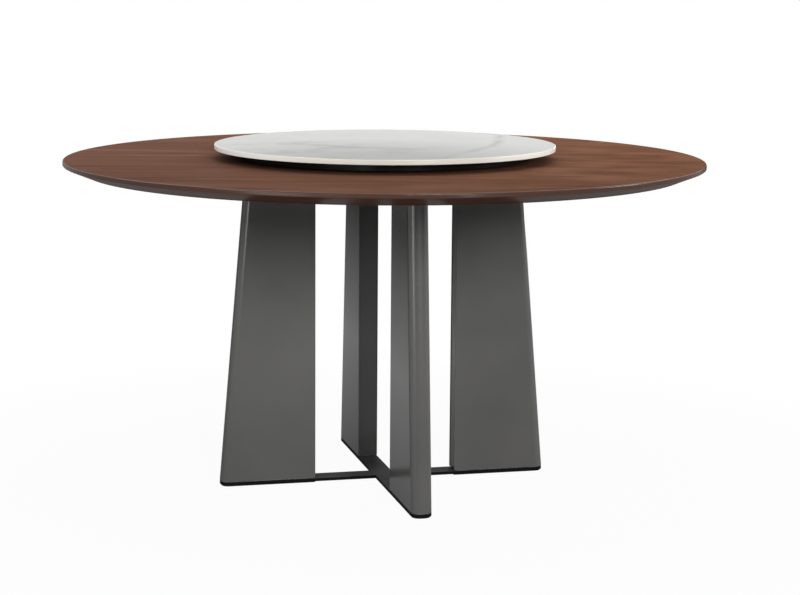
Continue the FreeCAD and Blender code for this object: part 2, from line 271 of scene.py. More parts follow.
def edit(piece, kind="VERT"):
    """Opens the piece in edit mode, to work on its vertices, edges or faces."""
    bpy.context.view_layer.objects.active = piece
    bpy.ops.object.mode_set(mode="EDIT")
    bpy.ops.mesh.select_mode(type=kind)


def pick(piece, kind, test):
    """Selects each vertex, edge or face of the opened piece whose corners all pass the test."""
    bpy.ops.mesh.select_mode(type=kind)
    bpy.ops.mesh.select_all(action="DESELECT")
    shape = bmesh.from_edit_mesh(piece.data)
    items = {"VERT": shape.verts, "EDGE": shape.edges, "FACE": shape.faces}[kind]
    for item in items:
        corners = [item] if kind == "VERT" else item.verts
        item.select_set(all(test(corner.co) for corner in corners))
    shape.select_flush_mode()
    bmesh.update_edit_mesh(piece.data)


def push(offset):
    """Extrudes what is selected by the offset."""
    bpy.ops.mesh.extrude_region_move(TRANSFORM_OT_translate={"value": offset})


def close_edit():
    """Merges doubled points, turns the faces outwards and leaves edit mode."""
    bpy.ops.mesh.select_all(action="SELECT")
    bpy.ops.mesh.remove_doubles(threshold=tiny / 10)
    bpy.ops.mesh.normals_make_consistent(inside=False)
    bpy.ops.object.mode_set(mode="OBJECT")


def use_modifier(piece, kind, **settings):
    """Adds a modifier to the piece and applies it."""
    bpy.ops.object.select_all(action="DESELECT")
    piece.select_set(True)
    bpy.context.view_layer.objects.active = piece
    modifier = piece.modifiers.new(kind.lower(), kind)
    for setting, value in settings.items():
        setattr(modifier, setting, value)
    bpy.ops.object.modifier_apply(modifier=modifier.name)


def break_edges(piece, width, segments=2, angle=30):
    use_modifier(piece, "BEVEL", width=width, segments=segments, limit_method="ANGLE",
                 angle_limit=math.radians(angle), harden_normals=False)


def smooth(piece, angle=32):
    """Shades curves smooth and leaves flat faces flat."""
    bpy.ops.object.select_all(action="DESELECT")
    piece.select_set(True)
    bpy.context.view_layer.objects.active = piece
    bpy.ops.object.transform_apply(location=True, rotation=True, scale=True)
    bpy.ops.object.shade_smooth_by_angle(angle=math.radians(angle))
    use_modifier(piece, "WEIGHTED_NORMAL", keep_sharp=True)


def cut_away(piece, cutter):
    """Cuts one piece out of another and removes the cutter."""
    use_modifier(piece, "BOOLEAN", object=cutter, operation="DIFFERENCE", solver="EXACT")
    bpy.data.objects.remove(cutter)


def turned_copy(piece, angle=0, shift=(0, 0, 0)):
    """A copy with its own mesh, shifted and then turned about the table's axis."""
    copy = piece.copy()
    copy.data = piece.data.copy()
    copy.data.transform(Matrix.Rotation(math.radians(angle), 4, "Z") @ Matrix.Translation(shift))
    bpy.context.scene.collection.objects.link(copy)
    return copy


def joined(name, pieces):
    bpy.ops.object.select_all(action="DESELECT")
    for piece in pieces:
        piece.select_set(True)
    bpy.context.view_layer.objects.active = pieces[0]
    bpy.ops.object.join()
    pieces[0].name = name
    return pieces[0]


def hand_over(piece, finish, slot, body, *nodes):
    """Gives a finished piece its material and puts it in the place of the frame's nodes."""
    piece.data.materials.clear()
    piece.data.materials.append(finish)
    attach(piece, body)
    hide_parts(*nodes)


def turned_piece(name, section, rounded=(), steps=192):
    """A piece turned on a lathe from the corners (radius, height) of its half section.
    The corners named in rounded get that radius."""
    bpy.ops.object.select_all(action="DESELECT")
    bpy.ops.mesh.primitive_circle_add(vertices=len(section), radius=1, fill_type="NGON")
    piece = bpy.context.object
    piece.name = name
    for vertex, (radius, height) in zip(piece.data.vertices, section):
        vertex.co = (radius, 0, height)
    edit(piece)
    for (radius, height), bend in dict(rounded).items():
        corner = Vector((radius, 0, height))
        pick(piece, "VERT", lambda point: (point - corner).length < tiny)
        bpy.ops.mesh.bevel(affect="VERTICES", offset=bend, offset_type="OFFSET", segments=round_steps)
    bpy.ops.mesh.select_all(action="SELECT")
    bpy.ops.mesh.delete(type="ONLY_FACE")
    pick(piece, "EDGE", lambda point: point.x < tiny)
    bpy.ops.mesh.delete(type="EDGE")
    bpy.ops.mesh.select_all(action="SELECT")
    bpy.ops.mesh.spin(steps=steps, angle=2 * math.pi, center=(0, 0, 0), axis=(0, 0, 1))
    close_edit()
    return piece


def cross_plate(name, reach, width, corner, bottom, top):
    """A flat plate with four arms, drawn out from a square in the middle."""
    bpy.ops.object.select_all(action="DESELECT")
    bpy.ops.mesh.primitive_plane_add(size=width)
    plate = bpy.context.object
    plate.name = name
    edit(plate)
    for direction in (Vector((1, 0, 0)), Vector((0, 1, 0)), Vector((-1, 0, 0)), Vector((0, -1, 0))):
        pick(plate, "EDGE", lambda point: abs(point.dot(direction) - width / 2) < tiny
             and max(abs(point.x), abs(point.y)) < width / 2 + tiny)
        push(direction * (reach - width / 2))
    pick(plate, "VERT", lambda point: max(abs(point.x), abs(point.y)) > reach - tiny)
    bpy.ops.mesh.bevel(affect="VERTICES", offset=corner, offset_type="OFFSET", segments=plate_steps)
    bpy.ops.mesh.select_all(action="SELECT")
    bpy.ops.transform.translate(value=(0, 0, bottom))
    push((0, 0, top - bottom))
    close_edit()
    return plate


def on_arms(piece, radii):
    """The piece repeated at the given radii on all four arms, and the first one removed."""
    copies = [turned_copy(piece, angle, (radius, 0, 0)) for angle in sides.values() for radius in radii]
    bpy.data.objects.remove(piece)
    return copies


def node_group(name, inputs, outputs):
    """A node group with its sockets, and the nodes at its entry and its end."""
    group = bpy.data.node_groups.new(name, "ShaderNodeTree")
    for socket, kind in inputs.items():
        group.interface.new_socket(socket, in_out="INPUT", socket_type="NodeSocket" + kind)
    for socket in outputs:
        group.interface.new_socket(socket, in_out="OUTPUT", socket_type="NodeSocketFloat")
    return group, group.nodes.new("NodeGroupInput"), group.nodes.new("NodeGroupOutput")


powder_grain, entry, result = node_group(
    "powder_coat_grain", {"Vector": "Vector", "Size": "Float"}, ("Grain", "Cloud"))
specks = noise(powder_grain, entry.outputs["Vector"], entry.outputs["Size"], 2, 0.6)
flow = noise(powder_grain, entry.outputs["Vector"], 4.5, 3, 0.5)
feed(powder_grain, result.inputs["Grain"], specks)
feed(powder_grain, result.inputs["Cloud"], flow)


def powder_coat(tree, size):
    """The grain of sprayed and baked powder, and its slow drift in tone, for one material."""
    group = add_node(tree, "Group", {"Vector": object_place(tree), "Size": size}, node_tree=powder_grain)
    return group.outputs["Grain"], group.outputs["Cloud"]


black_coat, tree, shader = new_finish("black_textured_coat")
grain, cloud = powder_coat(tree, 1400)
height = add_node(tree, "SeparateXYZ", {0: object_place(tree)}).outputs["Z"]
# below the top's chamfer the coat takes the painted shade colour
on_top = spread(tree, height, base_high.z - base_chamfer, base_high.z - base_chamfer / 4)
body = mix_colours(tree, spread(tree, grain, 0.35, 0.7), coat_black, coat_black_light)
set_finish(
    tree, shader,
    Base_Color=mix_colours(tree, on_top, black_edge_painted_shade, body),
    Roughness=spread(tree, cloud, 0.3, 0.7, 0.46, 0.58),
    Normal=bumped(tree, grain, 0.25, 0.0003),
    Specular_IOR_Level=0.0,
    Coat_Weight=spread(tree, on_top, 0.0, 1.0, 0.05, 0.12),
    Coat_Roughness=0.4)

base_screw_radii = (0.201, 0.366)
screw_head = 0.0075
screw_shank = 0.004
screw_play = 0.0001
cut_past = 0.001                  # how far a cutter runs past the face that it opens
base_plate = cross_plate("base_plate", base_reach, base_width, base_corner, base_low.z, base_high.z)
break_edges(base_plate, base_chamfer, angle=60)
countersink = turned_piece("countersink", (
    (0, base_low.z - cut_past),
    (screw_head + screw_play + cut_past, base_low.z - cut_past),
    (screw_shank + screw_play, base_low.z + screw_head - screw_shank),
    (screw_shank + screw_play, base_high.z + cut_past),
    (0, base_high.z + cut_past)), steps=32)
cut_away(base_plate, joined("countersinks", on_arms(countersink, base_screw_radii)))
smooth(base_plate)
hand_over(base_plate, black_coat, "black_paint", "table", "base_cross")


# Base screws
# Countersunk machine screws with a hexagon socket, driven from below through the base cross into the
# plate inside each leg. Zinc plated.
screws_low, screws_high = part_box("base_screws")
socket_radius = 0.0029
socket_depth = 0.0026
fastener_edge = 0.0002
zinc_bright = (0.58, 0.59, 0.61, 1)
zinc_dull = (0.40, 0.41, 0.42, 1)


def rod(corners, radius, length, height):
    """An upright bar with that many corners, on the axis, with its middle at the height."""
    bpy.ops.object.select_all(action="DESELECT")
    bpy.ops.mesh.primitive_cylinder_add(
        vertices=corners, radius=radius, depth=length, location=(0, 0, height))
    bpy.ops.object.transform_apply(location=True, rotation=True, scale=True)
    return bpy.context.object


base_screw = turned_piece("base_screw", (
    (0, screws_low.z),
    (screw_head, screws_low.z),
    (screw_shank, screws_low.z + screw_head - screw_shank),
    (screw_shank, screws_high.z),
    (0, screws_high.z)), steps=32)
cut_away(base_screw, rod(6, socket_radius, 2 * socket_depth, screws_low.z))
break_edges(base_screw, fastener_edge, 1)
base_fixings = joined("base_socket_screws", on_arms(base_screw, base_screw_radii))
smooth(base_fixings)

zinc, tree, shader = new_finish("zinc_plate")
place = object_place(tree)
crystals = add_node(tree, "TexVoronoi", {"Vector": place, "Scale": 700.0}).outputs["Color"]
stain = spread(tree, noise(tree, place, 120, 3), 0.4, 0.7)
set_finish(
    tree, shader,
    Base_Color=mix_colours(tree, stain, zinc_bright, zinc_dull),
    Roughness=spread(tree, crystals, 0.0, 1.0, 0.28, 0.45),
    Normal=bumped(tree, noise(tree, place, 2500, 2), 0.1, 0.0001),
    Metallic=1.0)
hand_over(base_fixings, zinc, "zinc_fasteners", "table", "base_screws")


# Leg end plates
# Thick steel plates welded into the foot and the head of each leg, drilled and tapped for its screws.
# Blue-grey mill scale, with rust-brown blooms near the welds.
scale_grey = (0.10, 0.105, 0.115, 1)
scale_light = (0.20, 0.20, 0.205, 1)
scale_brown = (0.09, 0.055, 0.035, 1)

mill_scale, tree, shader = new_finish("welded_mill_scale")
place = object_place(tree)
patches = spread(tree, noise(tree, place, 45, 5, 0.6), 0.35, 0.65)
blooms = spread(tree, noise(tree, place, 90, 4), 0.58, 0.75, 0.0, 0.6)
set_finish(
    tree, shader,
    Base_Color=mix_colours(tree, blooms, mix_colours(tree, patches, scale_grey, scale_light), scale_brown),
    Roughness=spread(tree, patches, 0.0, 1.0, 0.62, 0.45),
    Metallic=spread(tree, blooms, 0.0, 0.6, 0.8, 0.2),
    Normal=bumped(tree, noise(tree, place, 600, 3), 0.2, 0.0003))
finish_nodes(mill_scale, *[f"leg_{end}_plate_{side}" for end in ("foot", "head") for side in sides])


# Leg shells
# Steel sheet folded into a tall narrow channel: square and upright on the inner side, slanted outside
# with a generous radius on both corners. Satin gunmetal powder coat, with a fine metallic grain.
shell_low, shell_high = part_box("leg_shell_right")
leg_half = shell_high.y
leg_inner = shell_low.x
leg_foot = shell_high.x
leg_head = 0.334
leg_corner = 0.020
leg_steps = 10                    # facets of that corner
leg_sheet = 0.002
sheet_edge = 0.0004
gunmetal = (0.074, 0.073, 0.072, 1)
gunmetal_light = (0.088, 0.087, 0.085, 1)
gunmetal_fleck = (0.13, 0.13, 0.13, 1)
corner_shine = (0.0, 0.6)         # heights between which the rounded corners grow glossy
corner_gloss = 0.65
corner_fade = (0.6, 0.7)          # where their gloss fades out, in shares of their radius
end_gloss = 0.12                  # the flat outer side between the corners
end_fade = (0.1, 0.2)             # where that fades out
foot_dulls = (0.0, 0.3)           # the faces are glossiest below mid height,
head_dulls = (0.3, 0.64)          # and duller towards the foot and the head
face_gloss = (0.45, 0.07)         # below mid height and at the head
foot_gloss = 0.4                  # share of it that is left at the foot


def block(low, high):
    """A plain block between two opposite corners."""
    bpy.ops.object.select_all(action="DESELECT")
    bpy.ops.mesh.primitive_cube_add(size=1, location=(low + high) / 2, scale=high - low)
    bpy.ops.object.transform_apply(location=True, rotation=True, scale=True)
    return bpy.context.object


def leg_panel():
    """One leg along +X: a block with its outer side slanted, opened on three sides and given its sheet."""
    leg = block(shell_low, shell_high)
    edit(leg)
    pick(leg, "VERT", lambda point: point.x > leg_foot - tiny and point.z > shell_high.z - tiny)
    bpy.ops.transform.translate(value=(leg_head - leg_foot, 0, 0))
    for opening in (
            lambda point: point.x < leg_inner + tiny,
            lambda point: point.z < shell_low.z + tiny,
            lambda point: point.z > shell_high.z - tiny):
        pick(leg, "FACE", opening)
        bpy.ops.mesh.delete(type="FACE")
    for side in (1, -1):
        pick(leg, "EDGE", lambda point: point.x > leg_head - tiny and point.y * side > leg_half - tiny)
        bpy.ops.mesh.bevel(affect="EDGES", offset=leg_corner, offset_type="OFFSET", segments=leg_steps)
    close_edit()
    use_modifier(leg, "SOLIDIFY", thickness=leg_sheet, offset=-1, use_even_offset=True)
    break_edges(leg, sheet_edge, angle=60)
    smooth(leg)
    return leg


def times(tree, value, factor):
    return calculate(tree, "MULTIPLY", value, factor)


def gunmetal_coat(name, painted_shade):
    """The legs' coat: a body with a fine fleck, glossier on the outer corners, duller at head and foot, its
    colour darkened by a painted shade factor.
    """
    finish, tree, shader = new_finish(name)
    grain, cloud = powder_coat(tree, 2200)
    body = mix_colours(tree, spread(tree, cloud, 0.3, 0.7), gunmetal, gunmetal_light)
    body = mix_colours(tree, spread(tree, grain, 0.62, 0.8, 0.0, 0.35), body, gunmetal_fleck)
    x, y, height = add_node(tree, "SeparateXYZ", {0: object_place(tree)}).outputs
    x, y = calculate(tree, "ABSOLUTE", x), calculate(tree, "ABSOLUTE", y)
    aside = calculate(tree, "MINIMUM", x, y)
    outer = spread(tree, height, shell_low.z, shell_high.z, leg_foot, leg_head)
    from_outer = calculate(tree, "SUBTRACT", outer, calculate(tree, "MAXIMUM", x, y))
    near, far = (share * leg_corner for share in corner_fade)
    on_corner = times(
        tree, spread(tree, aside, leg_half - far, leg_half - near),
        spread(tree, from_outer, near, far, 1.0, 0.0))
    on_corner = times(tree, on_corner, spread(tree, height, *corner_shine, 0.0, corner_gloss))
    off_end = spread(tree, from_outer, *(share * leg_corner for share in end_fade))
    gloss = times(
        tree, spread(tree, height, *head_dulls, *face_gloss),
        spread(tree, height, *foot_dulls, foot_gloss, 1.0))
    past_end = calculate(tree, "SUBTRACT", gloss, end_gloss)
    gloss = calculate(tree, "MULTIPLY_ADD", off_end, past_end, end_gloss)
    set_finish(
        tree, shader,
        Base_Color=mix_colours(tree, 1.0, body, (painted_shade, painted_shade, painted_shade, 1), "MULTIPLY"),
        Roughness=spread(tree, cloud, 0.3, 0.7, 0.48, 0.54),
        Normal=bumped(tree, grain, 0.06, 0.0002),
        Specular_IOR_Level=0.0,
        Coat_Weight=calculate(tree, "MAXIMUM", on_corner, gloss),
        Coat_Roughness=0.2)
    return finish


first_leg = leg_panel()
leg_coat = gunmetal_coat("gunmetal_satin_coat", 1.0)
for side, angle in sides.items():
    shell = turned_copy(first_leg, angle)
    shell.name = f"panel_leg_{side}"
    hand_over(shell, leg_coat, "gunmetal_paint", "table", f"leg_shell_{side}")
bpy.data.objects.remove(first_leg)


# Leg closure strips
# A flat steel strip set between the two lips of each folded sheet, a little below their edges, and
# welded from inside. Coated with the leg; its colour is darkened in the recess as painted shade.
strip_edge = 0.0006
# painted shade: the strip's colour is darkened to this share, for its recess
strip_painted_shade = 0.58
first_strip = block(*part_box("leg_closure_strip_right"))
break_edges(first_strip, strip_edge, 3)
smooth(first_strip)
strip_shaded_coat = gunmetal_coat("gunmetal_recess_painted_shade", strip_painted_shade)
for side, angle in sides.items():
    strip = turned_copy(first_strip, angle)
    strip.name = f"closing_strip_{side}"
    hand_over(strip, strip_shaded_coat, "gunmetal_paint", "table", f"leg_closure_strip_{side}")
bpy.data.objects.remove(first_strip)


# Mounting cross
# Flat steel cross bolted under the top, screwed down into the heads of the four legs.
# Black powder coat, as on the base.
mount_low, mount_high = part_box("mounting_cross")
mount_width = 0.060
mount_corner = 0.012
mount_edge = 0.0006
bolt_radii = (0.111, 0.429)
bolt_hole = 0.0045
drill_length = 0.02
mount_plate = cross_plate("mount_plate", mount_high.x, mount_width, mount_corner, mount_low.z, mount_high.z)
break_edges(mount_plate, mount_edge, angle=60)
bolt_drill = rod(32, bolt_hole, drill_length, mount_low.z)
cut_away(mount_plate, joined("bolt_drills", on_arms(bolt_drill, bolt_radii)))
smooth(mount_plate)
hand_over(mount_plate, black_coat, "black_paint", "table", "mounting_cross")
finish_nodes(zinc, "leg_head_screws")


# Top bolts and washers
# Hexagon bolts and plain washers, driven from below through the mounting cross into brass inserts in
# the board. Zinc plated.
bolts_low, bolts_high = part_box("top_bolts")
washers_low, washers_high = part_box("top_bolt_washers")
bolt_shank = 0.004
bolt_corner = 0.013 / math.sqrt(3)    # centre to corner of a 13 mm hexagon
bolt_chamfer = 0.0008
shank_root = 0.001                # how far the shank runs into the head
washer_radius = 0.0085
dome_flat, dome_rim, dome_drop = (share * bolt_corner for share in (0.82, 1.02, 0.12))

bolt = rod(6, bolt_corner, washers_low.z - bolts_low.z, (washers_low.z + bolts_low.z) / 2)
head_round = turned_piece("head_round", (
    (0, bolts_low.z - tiny),
    (dome_flat, bolts_low.z - tiny),
    (dome_rim, bolts_low.z + dome_drop),
    (dome_rim, washers_low.z + tiny),
    (0, washers_low.z + tiny)), steps=48)
use_modifier(bolt, "BOOLEAN", object=head_round, operation="INTERSECT", solver="EXACT")
bpy.data.objects.remove(head_round)
shank = turned_piece("bolt_shank", (
    (0, washers_low.z - shank_root),
    (bolt_shank, washers_low.z - shank_root),
    (bolt_shank, bolts_high.z - bolt_chamfer),
    (bolt_shank - bolt_chamfer, bolts_high.z),
    (0, bolts_high.z)), steps=24)
bolt = joined("top_bolt", [bolt, shank])
bolts = joined("hexagon_bolts", on_arms(bolt, bolt_radii))
smooth(bolts)
hand_over(bolts, zinc, "zinc_fasteners", "table", "top_bolts")

washer = turned_piece("washer", (
    (bolt_hole, washers_low.z),
    (washer_radius, washers_low.z),
    (washer_radius, washers_high.z),
    (bolt_hole, washers_high.z)), steps=48)
break_edges(washer, fastener_edge, 1)
washers = joined("plain_washers", on_arms(washer, bolt_radii))
smooth(washers)
hand_over(washers, zinc, "zinc_fasteners", "table", "top_bolt_washers")


# Threaded inserts
# Bushes turned from brass, with a coarse thread outside and the bolts' thread inside, screwed into the
# underside of the board.
brass_light = (0.74, 0.56, 0.26, 1)
brass_dark = (0.48, 0.32, 0.12, 1)

brass, tree, shader = new_finish("turned_brass")
place = object_place(tree)
tarnish = spread(tree, noise(tree, place, 180, 4), 0.4, 0.75)
lathe_rings = noise(tree, object_place(tree, (1, 1, 60)), 90, 2)
set_finish(
    tree, shader,
    Base_Color=mix_colours(tree, tarnish, brass_light, brass_dark),
    Roughness=spread(tree, lathe_rings, 0.3, 0.7, 0.25, 0.4),
    Normal=bumped(tree, lathe_rings, 0.2, 0.0002),
    Metallic=1.0)
finish_nodes(brass, "threaded_inserts")


# Board core
# Fibreboard inside the top, pressed from fine wood fibre, sawn round and bored from below for the
# inserts. Raw and pale brown.
fibre_pale = (0.50, 0.36, 0.23, 1)
fibre_dark = (0.33, 0.22, 0.13, 1)

fibreboard, tree, shader = new_finish("raw_fibreboard")
place = object_place(tree)
fibres = noise(tree, place, 700, 4, 0.65)
bands = noise(tree, object_place(tree, (1, 1, 30)), 6, 2)
set_finish(
    tree, shader,
    Base_Color=mix_colours(tree, spread(tree, fibres, 0.3, 0.7), fibre_dark, fibre_pale),
    Roughness=spread(tree, bands, 0.3, 0.7, 0.8, 0.95),
    Normal=bumped(tree, fibres, 0.3, 0.0004),
    Specular_IOR_Level=0.2)
finish_nodes(fibreboard, "tabletop_core")


# Face and backing veneer
# Walnut leaves about 190 mm wide, laid side by side and pressed on both faces of the board. Crown-cut
# figure with long arches, fine dark pores, and a matt lacquer.
face_low, face_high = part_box("top_veneer")
backing_low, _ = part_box("backing_veneer")
top_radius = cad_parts["edge_lipping"].dimensions.x / 2
arris = 0.003
arris_polish = (0.5, 0.08)        # lacquer that gathers on the rounded arris, in front and at the back
polish_fades = (-0.2, 0.3)        # from front to back
arris_rubbed = (0.705, 0.730)     # it is rubbed thin at the right end
rubbed_share = 0.05
face_polish = 0.03
grain_turn = camera_bearing + aim_aside      # the leaves run across the photograph
leaf_width = 0.19
leaf_shift = 3.0                  # how far the figure of one leaf lies from that of the next
leaf_depth = 40.0                 # and how far apart they are cut
leaf_tones = (0.88, 1.12)
arch_slope = 0.07                 # how slender the arches are,
arch_sway = 0.05                  # how far they wander across the grain
ring_count = 60.0                 # and how many rings there are to a metre
even_share = 0.52                 # how far the arches are evened out towards the middle tone
plain_end, figured_end = -0.45, 0.3          # the figure grows stronger from left to right
plain_share = 0.2
painted_shade_front = (-0.7, -0.4)         # painted shade: the wood is darkened towards the front
front_shade_tone = 0.82
painted_shadow_under_disc = (0.380, 0.410)       # inside this the wood is darkened: a painted shadow under the disc
painted_shadow_tone = 0.6
tint_span = (-0.6, 0.6)           # the wood grows redder from left to right
red_tint = (0.96, 1.05)
blue_tint = (1.03, 0.88)
walnut_dark = (0.076, 0.030, 0.018, 1)
walnut_mid = (0.145, 0.066, 0.042, 1)
walnut_light = (0.240, 0.122, 0.082, 1)
walnut_pore = (0.040, 0.017, 0.011, 1)


def part_at(piece, level, keep_above):
    """Saws the piece at a level and keeps one side."""
    edit(piece)
    bpy.ops.mesh.select_all(action="SELECT")
    bpy.ops.mesh.bisect(
        plane_co=(0, 0, level), plane_no=(0, 0, 1), use_fill=True,
        clear_inner=keep_above, clear_outer=not keep_above)
    close_edit()


def vector(tree, x, y, z):
    return add_node(tree, "CombineXYZ", {0: x, 1: y, 2: z}).outputs[0]


def from_axis(tree, x, y):
    """Distance from an upright axis, seen from above."""
    return add_node(tree, "VectorMath", {0: vector(tree, x, y, 0.0)}, operation="LENGTH").outputs["Value"]


walnut_figure, entry, result = node_group(
    "walnut_figure", {"Along": "Float", "Across": "Float", "Leaf": "Float"},
    ("Arches", "Fibre", "Pores", "Tone"))
tree = walnut_figure
along, across, leaf = (entry.outputs[name] for name in ("Along", "Across", "Leaf"))


def drawn_out(along_scale, across_scale, detail):
    """Noise of one leaf, with its own scale along and across the grain."""
    point = vector(tree, times(tree, along, along_scale), times(tree, across, across_scale), leaf)
    return noise(tree, point, 1.0, detail)


sway = drawn_out(1.3, 4.0, 3)
arch_across = calculate(tree, "MULTIPLY_ADD", sway, arch_sway, across)
ring = times(tree, from_axis(tree, times(tree, along, arch_slope), arch_across), ring_count)
growth = noise(tree, vector(tree, ring, leaf, times(tree, along, 0.5)), 1.0, 4, 0.6)
streaks = drawn_out(5.0, 60.0, 3)
pores = drawn_out(55.0, 1500.0, 2)
tone = drawn_out(6.0, 9.0, 3)
for name, value in (("Arches", growth), ("Fibre", streaks), ("Pores", pores), ("Tone", tone)):
    feed(tree, result.inputs[name], value)


def walnut(tree, along, across, leaf, figured):
    """Colour, relief and pore mask of walnut, from the distances along and across its grain."""
    inputs = {"Along": along, "Across": across, "Leaf": leaf}
    group = add_node(tree, "Group", inputs, node_tree=walnut_figure)
    arches, fibre, pores, tone = (group.outputs[name] for name in ("Arches", "Fibre", "Pores", "Tone"))
    body = mix_colours(tree, spread(tree, arches, 0.3, 0.72), walnut_light, walnut_dark)
    body = mix_colours(tree, even_share, body, walnut_mid)
    dark_streaks = times(tree, spread(tree, fibre, 0.38, 0.75, 0.0, 0.5), figured)
    body = mix_colours(tree, dark_streaks, body, walnut_dark)
    light_patches = times(tree, spread(tree, tone, 0.42, 0.75, 0.0, 0.6), figured)
    body = mix_colours(tree, light_patches, body, walnut_light)
    pore_mask = spread(tree, pores, 0.62, 0.74, 0.0, 0.7)
    return mix_colours(tree, pore_mask, body, walnut_pore), fibre, pore_mask


veneer, tree, shader = new_finish("walnut_veneer_matt_lacquer")
place = object_place(tree, turn=grain_turn)
along, across, _ = add_node(tree, "SeparateXYZ", {0: place}).outputs
radius = from_axis(tree, along, across)
leaf_number = calculate(tree, "FLOOR", calculate(tree, "DIVIDE", across, leaf_width))
leaf_middle = times(tree, calculate(tree, "ADD", leaf_number, 0.5), leaf_width)
in_leaf = calculate(tree, "SUBTRACT", across, leaf_middle)
leaf_seed = add_node(tree, "TexWhiteNoise", {"W": leaf_number}, noise_dimensions="1D").outputs["Value"]
shifted = calculate(tree, "MULTIPLY_ADD", leaf_seed, leaf_shift, along)
figured = spread(tree, along, plain_end, figured_end, plain_share, 1.0)
colour, fibre, pore_mask = walnut(tree, shifted, in_leaf, times(tree, leaf_seed, leaf_depth), figured)
leaf_tone_and_shade = spread(tree, leaf_seed, 0.0, 1.0, *leaf_tones)
# painted shade darkens the leaves towards the front
leaf_tone_and_shade = times(tree, leaf_tone_and_shade, spread(tree, across, *painted_shade_front, front_shade_tone, 1.0))
# painted shadow: the wood under the disc is darkened
leaf_tone_and_shade = times(tree, leaf_tone_and_shade, spread(tree, radius, *painted_shadow_under_disc, painted_shadow_tone, 1.0))
red = times(tree, leaf_tone_and_shade, spread(tree, along, *tint_span, *red_tint))
blue = times(tree, leaf_tone_and_shade, spread(tree, along, *tint_span, *blue_tint))
leaf_tint_and_shade = add_node(tree, "CombineColor", {0: red, 1: leaf_tone_and_shade, 2: blue}).outputs[0]
rim = spread(tree, radius, top_radius - arris, top_radius - arris / 2)
polish = times(
    tree, spread(tree, across, *polish_fades, *arris_polish),
    spread(tree, along, *arris_rubbed, 1.0, rubbed_share))
set_finish(
    tree, shader,
    Base_Color=mix_colours(tree, 1.0, colour, leaf_tint_and_shade, "MULTIPLY"),
    Roughness=spread(tree, fibre, 0.3, 0.7, 0.55, 0.65),
    Normal=bumped(tree, pore_mask, 0.15, -0.0002),
    Specular_IOR_Level=0.0,
    Coat_Weight=calculate(tree, "MULTIPLY_ADD", rim, polish, face_polish),
    Coat_Roughness=0.3)

face = turned_piece("walnut_face", (
    (0, face_high.z - 2 * arris),
    (top_radius, face_high.z - 2 * arris),
    (top_radius, face_high.z),
    (0, face_high.z)), {(top_radius, face_high.z): arris}, steps=256)
part_at(face, face_low.z, keep_above=True)
smooth(face)
hand_over(face, veneer, "walnut_veneer", "table", "top_veneer")
finish_nodes(veneer, "backing_veneer")


# Edge lipping
# Solid walnut round the board, turned to its profile: a rounded upper arris, an upright band and a bevel
# that runs back under the top. Its grain follows the rim, and it is stained darker than the face.
lipping_low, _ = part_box("edge_lipping")
lipping_inner = 0.670
bevel_reach = 0.050
edge_height = 0.010
bevel_arris = 0.0012
bevel_stain, edge_stain = 0.65, 0.84
bevel_polish, edge_polish = 0.14, 0.3
stain_brown = (0.036, 0.017, 0.012, 1)
bevel_rim = (top_radius, face_high.z - edge_height)
bevel_slope = bevel_reach / (bevel_rim[1] - backing_low.z)
bevel_foot = (top_radius - bevel_reach + bevel_slope * (lipping_low.z - backing_low.z), lipping_low.z)

lipping = turned_piece("walnut_lipping", (
    (lipping_inner, lipping_low.z),
    bevel_foot,
    bevel_rim,
    (top_radius, face_high.z),
    (lipping_inner, face_high.z)),
    {(top_radius, face_high.z): arris, bevel_rim: bevel_arris}, steps=256)
part_at(lipping, face_low.z, keep_above=False)
smooth(lipping)

lipping_walnut, tree, shader = new_finish("stained_walnut_lipping")
x, y, height = add_node(tree, "SeparateXYZ", {0: object_place(tree)}).outputs
radius = from_axis(tree, x, y)
rim_walk = add_node(tree, "VectorMath", {0: vector(tree, x, y, 0.0)}, operation="NORMALIZE").outputs[0]
rim_x, rim_y, _ = add_node(tree, "SeparateXYZ", {0: rim_walk}).outputs
rim_grain = add_node(tree, "TexNoise", {
    "Vector": vector(tree, times(tree, rim_x, 5.0), times(tree, rim_y, 5.0), times(tree, height, 420.0)),
    "W": times(tree, radius, 160.0), "Scale": 1.0, "Detail": 4.0, "Roughness": 0.6},
    noise_dimensions="4D").outputs["Fac"]
wood = mix_colours(tree, spread(tree, rim_grain, 0.3, 0.7), walnut_dark, walnut_mid)
on_arris = spread(tree, height, face_high.z - arris, face_high.z - arris / 2)
over_bevel = spread(tree, height, bevel_rim[1] - tiny, bevel_rim[1] + tiny)
stain = spread(tree, over_bevel, 0.0, 1.0, bevel_stain, edge_stain)
along = add_node(tree, "SeparateXYZ", {0: object_place(tree, turn=grain_turn)}).outputs["X"]
rubbed = spread(tree, along, *arris_rubbed, 1.0, rubbed_share)
below_arris = times(tree, spread(tree, over_bevel, 0.0, 1.0, bevel_polish, edge_polish), rubbed)
at_arris = times(tree, spread(tree, y, *polish_fades, *arris_polish), rubbed)
gathered = calculate(tree, "SUBTRACT", at_arris, below_arris)
set_finish(
    tree, shader,
    Base_Color=mix_colours(tree, stain, wood, stain_brown),
    Roughness=spread(tree, rim_grain, 0.3, 0.7, 0.45, 0.55),
    Normal=bumped(tree, rim_grain, 0.08, 0.0002),
    Specular_IOR_Level=0.0,
    Coat_Weight=calculate(tree, "MULTIPLY_ADD", on_arris, gathered, below_arris),
    Coat_Roughness=0.2)
hand_over(lipping, lipping_walnut, "walnut_lipping", "table", "edge_lipping")


